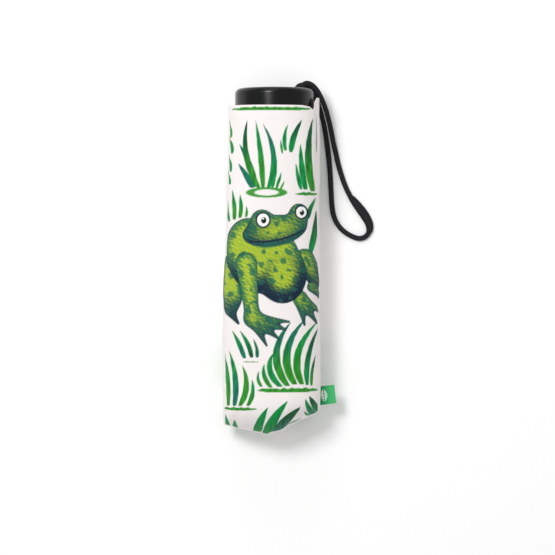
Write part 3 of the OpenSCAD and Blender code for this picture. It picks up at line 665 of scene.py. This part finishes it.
openLine = ribProfile(1.0)
openRun = np.r_[0, np.cumsum(np.linalg.norm(np.diff(openLine, axis=0), axis=1))]
t = np.linspace(0, openRun[-1], canopySet["rows"])
openRadius = np.interp(t, openRun, openLine[:, 0])
gore = np.arange(6 * canopySet["perGore"]) // canopySet["perGore"]
across = (np.arange(6 * canopySet["perGore"]) % canopySet["perGore"]) / canopySet["perGore"]
# closed: each gore's spare cloth is laid out double and wound round the folded ribs
flap = 1 - np.abs(2 * across - 1)
bow = np.sin(math.pi * across)
lineY = np.interp(t, [0, 17, canopySet["top"] + 14, canopySet["top"] + canopySet["middle"] + 10,
                      openRun[-1]], [-98.3, -91.5, 80, -88, 80])
secondFold = canopySet["top"] + canopySet["middle"]
zone = smoothStep(canopySet["top"] + 4, canopySet["top"] + 26, t)
zone = zone + smoothStep(secondFold + 2, secondFold + 22, t)  # the cloth stands further out after each fold
baseRadius = np.interp(t, [0, 18], [3.6, canopySet["inner"]]) + 0.55 * zone
wide = openRadius * 0.5
wind = wide / 22.5
angle = np.where(across < 0.5, gore * math.pi / 3 + flap * wind[:, None],
                 (gore + 1) * math.pi / 3 + flap * (wind[:, None] - math.pi / 3))
radius = baseRadius[:, None] + flap * np.minimum(wind, 1)[:, None] * 1.25 + 0.08 * (across > 0.5)
radius += 0.22 * np.sin(angle * 5 + t[:, None] / 19) * smoothStep(12, 24, radius)
ripple = 1.2 * np.sin(angle * 2 + t[:, None] / 30) * smoothStep(30, 80, t)[:, None]
closed = np.stack([-1.3 + radius * np.cos(angle) * 1.13, lineY[:, None] + ripple,
                   26.2 + radius * np.sin(angle) * 0.965], -1)
stagesXyz = []
for stage in range(1, canopySet["stages"] + 1):
    share = stage / canopySet["stages"]
    profile = ribProfile(share)
    run = np.r_[0, np.cumsum(np.linalg.norm(np.diff(profile, axis=0), axis=1))]
    r = np.interp(t, run / run[-1] * t[-1], profile[:, 0])
    h = np.interp(t, run / run[-1] * t[-1], profile[:, 1])
    phi = (across - 0.5) * math.pi / 3
    chord = 1 - 0.86 * (1 - math.cos(math.pi / 6) / np.cos(phi))  # nearly straight from rib to rib
    slack = np.clip(openRadius - r, 0, None)  # cloth that isn't drawn tight yet hangs between the ribs
    fall = bow * np.minimum(slack * 0.32, 30)[:, None] * np.clip(r / 120, 0, 1)[:, None]
    scallop = 1 - canopySet["scallop"] * bow[None] * smoothStep(0.55, 1, t / t[-1])[:, None]
    rr = r[:, None] * chord[None] * scallop - fall * 0.6
    hh = h[:, None] + (h[:, None] - h[0]) * (scallop - 1) + fall * 0.6
    theta = gore * math.pi / 3 + across * math.pi / 3
    stagesXyz.append(np.stack([rr * np.cos(theta)[None], hh, 27 + rr * np.sin(theta)[None]], -1))
canopyUv = np.stack([np.tile((across - 0.5) * 400, len(t)), np.repeat(t, len(across))], 1)


def canopyMaterial(length):
    # Pongee canopy: the same close, slightly silky weave in plain off-white, with a bound green rim
    material = pressedCloth("pongee", base="#f3efec", thread=0.22, roughness=0.6)
    tree = material.node_tree
    shader = next(n for n in tree.nodes if n.type == "BSDF_PRINCIPLED")
    uv = addNode(tree, "ShaderNodeUVMap", {"uv_map": "cloth"})
    parts = addNode(tree, "ShaderNodeSeparateXYZ", links={0: uv.outputs[0]})
    rim = addNode(tree, "ShaderNodeMapRange", {"From Min": length - 9, "From Max": length - 8.2},
                  {"Value": parts.outputs[1]})
    old = shader.inputs["Base Color"].links[0].from_socket
    mix = addNode(tree, "ShaderNodeMix", {"data_type": "RGBA"}, {0: rim.outputs[0]})
    tree.links.new(old, mix.inputs[6])
    mix.inputs[7].default_value = linear("#1c8a4d")
    tree.links.new(mix.outputs[2], shader.inputs["Base Color"])
    return material


canopyCloth = meshPiece("canopyCloth", closed.reshape(-1, 3), gridFaces(len(t), len(across)),
                        canopyMaterial(float(t[-1])), "root", canopyUv)


def storeStages(obj, stages):
    for n, xyz in enumerate(stages, 1):
        layer = obj.data.attributes.new(f"spread{n}", "FLOAT_VECTOR", "POINT")
        layer.data.foreach_set("vector", (xyz * mm).astype(np.float32).ravel())


travel = next(j for j in frame["joints"] if j["name"] == "runner_slide")["range_m"][1]


def openingNodes(stages):  # moves the cloth from stage to stage as the runner slides
    group = bpy.data.node_groups.new("opensWithRunner", "GeometryNodeTree")
    group.interface.new_socket("Geometry", in_out="INPUT", socket_type="NodeSocketGeometry")
    group.interface.new_socket("Geometry", in_out="OUTPUT", socket_type="NodeSocketGeometry")
    start = addNode(group, "NodeGroupInput")
    runner = addNode(group, "GeometryNodeObjectInfo", {"Object": frame["bodies"]["runner"]})
    place = addNode(group, "ShaderNodeSeparateXYZ", links={0: runner.outputs["Location"]})
    position = addNode(group, "GeometryNodeInputPosition").outputs[0]
    for n in range(stages):
        share = addNode(group, "ShaderNodeMath",
                        {"operation": "MULTIPLY_ADD", "use_clamp": True, 1: -stages / travel, 2: -float(n)},
                        {0: place.outputs["Y"]})
        spread = addNode(group, "GeometryNodeInputNamedAttribute",
                         {"data_type": "FLOAT_VECTOR", "Name": f"spread{n + 1}"})
        mix = addNode(group, "ShaderNodeMix", {"data_type": "VECTOR"},
                      {0: share.outputs[0], 4: position, 5: spread.outputs["Attribute"]})
        position = mix.outputs[1]
    moved = addNode(group, "GeometryNodeSetPosition",
                    links={"Geometry": start.outputs[0], "Position": position})
    addNode(group, "NodeGroupOutput", links={0: moved.outputs[0]})
    return group


opening = openingNodes(canopySet["stages"])
storeStages(canopyCloth, stagesXyz)
canopyCloth.modifiers.new("opens", "NODES").node_group = opening
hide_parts("canopy")
print("canopy done", closed.reshape(-1, 3).min(0).round(1), closed.reshape(-1, 3).max(0).round(1))

# Tie strap: a short band of the same cloth, sewn to the hem and pressed shut round the bundle
strapLow, strapHigh = (np.array(corner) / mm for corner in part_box("tie_strap"))
strapSet = {"around": 132, "across": 10, "overlap": 0.1, "place": 0.2, "length": 150, "sewn": 14,
            "slack": 0.97}
a = np.linspace(-0.35, 2 * math.pi - 0.35 + strapSet["overlap"], strapSet["around"])
b = np.linspace(strapLow[1], strapHigh[1], strapSet["across"])
halfX, halfZ = (strapHigh[0] - strapLow[0]) / 2 - 0.1, (strapHigh[2] - strapLow[2]) / 2 - 0.1
mid = (strapLow + strapHigh) / 2
lift = 1 + 0.012 * (a - a[0]) / (2 * math.pi) - 0.012
cosine, sine = np.sign(np.cos(a)) * np.abs(np.cos(a)) ** 0.86, np.sign(np.sin(a)) * np.abs(np.sin(a)) ** 0.86
strapXyz = np.stack([np.repeat((mid[0] + halfX * lift * cosine)[:, None], len(b), 1),
                     np.repeat(b[None], len(a), 0),
                     np.repeat((mid[2] + halfZ * lift * sine)[:, None], len(b), 1)], -1)
stagesStrap = []
for canopyStage in stagesXyz:
    column = int(canopySet["perGore"] * strapSet["place"])
    rim, inner = canopyStage[-1, column], canopyStage[-8, column]
    run = (rim - inner) / np.linalg.norm(rim - inner)
    sideways = np.cross(run, [0, 0, 1])
    sideways /= np.linalg.norm(sideways)
    length = np.linspace(0, strapSet["length"], len(a))[:, None]
    sewn = strapSet["sewn"]
    fallen = np.array([0, 0, -strapSet["slack"]]) * np.maximum(length - sewn, 0)
    hang = rim + run * np.minimum(length, sewn) + fallen
    stagesStrap.append(hang[:, None] + sideways[None, None] * (b - b.mean())[None, :, None])
strapUv = np.stack([np.repeat(np.arange(len(a)) * 1.2, len(b)), np.tile(b, len(a))], 1)
tieStrap = meshPiece("tieStrap", strapXyz.reshape(-1, 3), gridFaces(len(a), len(b), closed=False),
                     pressedCloth("boundPongee", base="#1c8a4d", thread=0.22,
                                  roughness=0.6), "root", strapUv)
storeStages(tieStrap, stagesStrap)
tieStrap.modifiers.new("opens", "NODES").node_group = opening
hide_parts("tie_strap")
print("tie strap done")


def mouldedPlastic(name, colour, roughness, shine=0.5, grain=0.6, depth=0.02):
    # Moulded plastic: one even colour, the gloss broken up by faint mould texture and handling
    material, tree = newMaterial(name)
    coords = addNode(tree, "ShaderNodeTexCoord")
    fine = addNode(tree, "ShaderNodeTexNoise", {"Scale": 1000 / grain, "Detail": 3.0},
                   {"Vector": coords.outputs["Object"]})
    broad = addNode(tree, "ShaderNodeTexNoise", {"Scale": 1000 / 9.0, "Detail": 4.0},
                    {"Vector": coords.outputs["Object"]})
    rough = addNode(tree, "ShaderNodeMapRange",
                    {"From Min": 0.3, "From Max": 0.7, "To Min": roughness * 0.85,
                     "To Max": roughness * 1.2},
                    {"Value": broad.outputs["Fac"]})
    bump = addNode(tree, "ShaderNodeBump", {"Strength": 0.25, "Distance": depth * mm},
                   {"Height": fine.outputs["Fac"]})
    shader = addNode(tree, "ShaderNodeBsdfPrincipled",
                     {"Base Color": linear(colour), "IOR": 1.52, "Specular IOR Level": shine},
                     {"Roughness": rough.outputs[0], "Normal": bump.outputs["Normal"]})
    closeMaterial(tree, shader)
    return material


def drawnMetal(name, colour, roughness, line=0.08):
    # Plated steel: a bright skin with the fine lengthwise lines that drawing or pressing leaves
    material, tree = newMaterial(name)
    coords = addNode(tree, "ShaderNodeTexCoord")
    stretch = addNode(tree, "ShaderNodeMapping", {"Scale": (1000 / line, 1000 / 6.0, 1000 / line)},
                      {"Vector": coords.outputs["Object"]})
    lines = addNode(tree, "ShaderNodeTexNoise", {"Scale": 1.0, "Detail": 2.0},
                    {"Vector": stretch.outputs[0]})
    haze = addNode(tree, "ShaderNodeTexNoise", {"Scale": 1000 / 12.0, "Detail": 3.0},
                   {"Vector": coords.outputs["Object"]})
    rough = addNode(tree, "ShaderNodeMapRange",
                    {"From Min": 0.3, "From Max": 0.7, "To Min": roughness * 0.8, "To Max": roughness * 1.3},
                    {"Value": haze.outputs["Fac"]})
    bump = addNode(tree, "ShaderNodeBump", {"Strength": 0.15, "Distance": 0.01 * mm},
                   {"Height": lines.outputs["Fac"]})
    shader = addNode(tree, "ShaderNodeBsdfPrincipled", {"Base Color": linear(colour), "Metallic": 1.0},
                     {"Roughness": rough.outputs[0], "Normal": bump.outputs["Normal"]})
    closeMaterial(tree, shader)
    return material


finishes = {
    "abs": mouldedPlastic("mouldedAbs", "#050607", 0.24, shine=0.26),
    "nylon": mouldedPlastic("mouldedNylon", "#17181a", 0.55, grain=0.4),
    "plated": drawnMetal("nickelPlatedSteel", "#c9cbcf", 0.24),
    "pressed": drawnMetal("pressedZincPlatedSteel", "#a9adb1", 0.36, line=0.15),
    "spring": drawnMetal("springSteel", "#8d9196", 0.3),
    "die": drawnMetal("dieCastZinc", "#9a9da1", 0.45, line=0.3),
}
nodeFinish = {
    "plated": ["top_tube", "middle_tube", "lower_tube", "latch_pin", "handle_pin"],
    "spring": ["middle_tube_catch", "lower_tube_catch", "crown_wire", "latch_spring"],
    "nylon": ["crown", "ferrule", "runner", "runner_catch", "handle_core"],
    "abs": ["handle_cap"],
    "die": ["loop_anchor"],
}
for name, obj in frame["nodes"].items():
    kind = next((k for k, names in nodeFinish.items() if name in names), None)
    if kind is None and name.rsplit("_", 1)[0] in ("top_rib", "stretcher", "mid_rib", "tip_rib"):
        kind = "pressed"
    if kind is None and name.rsplit("_", 1)[0] in ("inner_rod", "outer_rod"):
        kind = "spring"
    if kind:
        obj.data.materials.clear()
        obj.data.materials.append(finishes[kind])
print("materials done")

# Pale studio: white sweep, big soft key from the upper left, even fill
floorMaterial, tree = newMaterial("paintedSweep")  # matt painted board, nearly white
speck = addNode(tree, "ShaderNodeTexNoise", {"Scale": 40.0, "Detail": 2.0},
                {"Vector": addNode(tree, "ShaderNodeTexCoord").outputs["Object"]})
matt = addNode(tree, "ShaderNodeMapRange", {"To Min": 0.86, "To Max": 0.94}, {"Value": speck.outputs["Fac"]})
closeMaterial(tree, addNode(tree, "ShaderNodeBsdfPrincipled",
                            {"Base Color": linear("#ffffff"), "Specular IOR Level": 0.2},
                            {"Roughness": matt.outputs[0]}))
floorMesh = bpy.data.meshes.new("floor")
floorMesh.from_pydata([(-3, -3, 0), (3, -3, 0), (3, 3, 0), (-3, 3, 0)], [], [(0, 1, 2, 3)])
floorMesh.materials.append(floorMaterial)
floor = bpy.data.objects.new("floor", floorMesh)
bpy.context.scene.collection.objects.link(floor)
floorDrop = 0.46  # metres, half the open canopy
drop = floor.constraints.new("TRANSFORM")  # the floor gives way under the canopy as it opens
drop.target = frame["bodies"]["runner"]
drop.map_from, drop.map_to = "LOCATION", "LOCATION"
drop.from_min_y, drop.from_max_y = -travel, 0
drop.map_to_z_from = "Y"
drop.to_min_z, drop.to_max_z = -floorDrop, 0

lightSet = {"key": ((-0.5, 0.55, 1.5), 0.42, 13.4), "glow": ((-0.1, 0.9, 0.5), 0.5, 1.2), "world": 0.6}
for name in ("key", "glow"):
    place, size, power = lightSet[name]
    data = bpy.data.lights.new(name, "AREA")
    data.size, data.energy = size, power
    lamp = bpy.data.objects.new(name, data)
    lamp.location = place
    lamp.rotation_euler = (-Vector(place)).to_track_quat("-Z", "Y").to_euler()
    bpy.context.scene.collection.objects.link(lamp)
world = bpy.data.worlds.new("studio")
world.use_nodes = True
world.node_tree.nodes["Background"].inputs["Color"].default_value = (1, 1, 1, 1)
world.node_tree.nodes["Background"].inputs["Strength"].default_value = lightSet["world"]
bpy.context.scene.world = world
bpy.context.scene.view_settings.view_transform = "Standard"
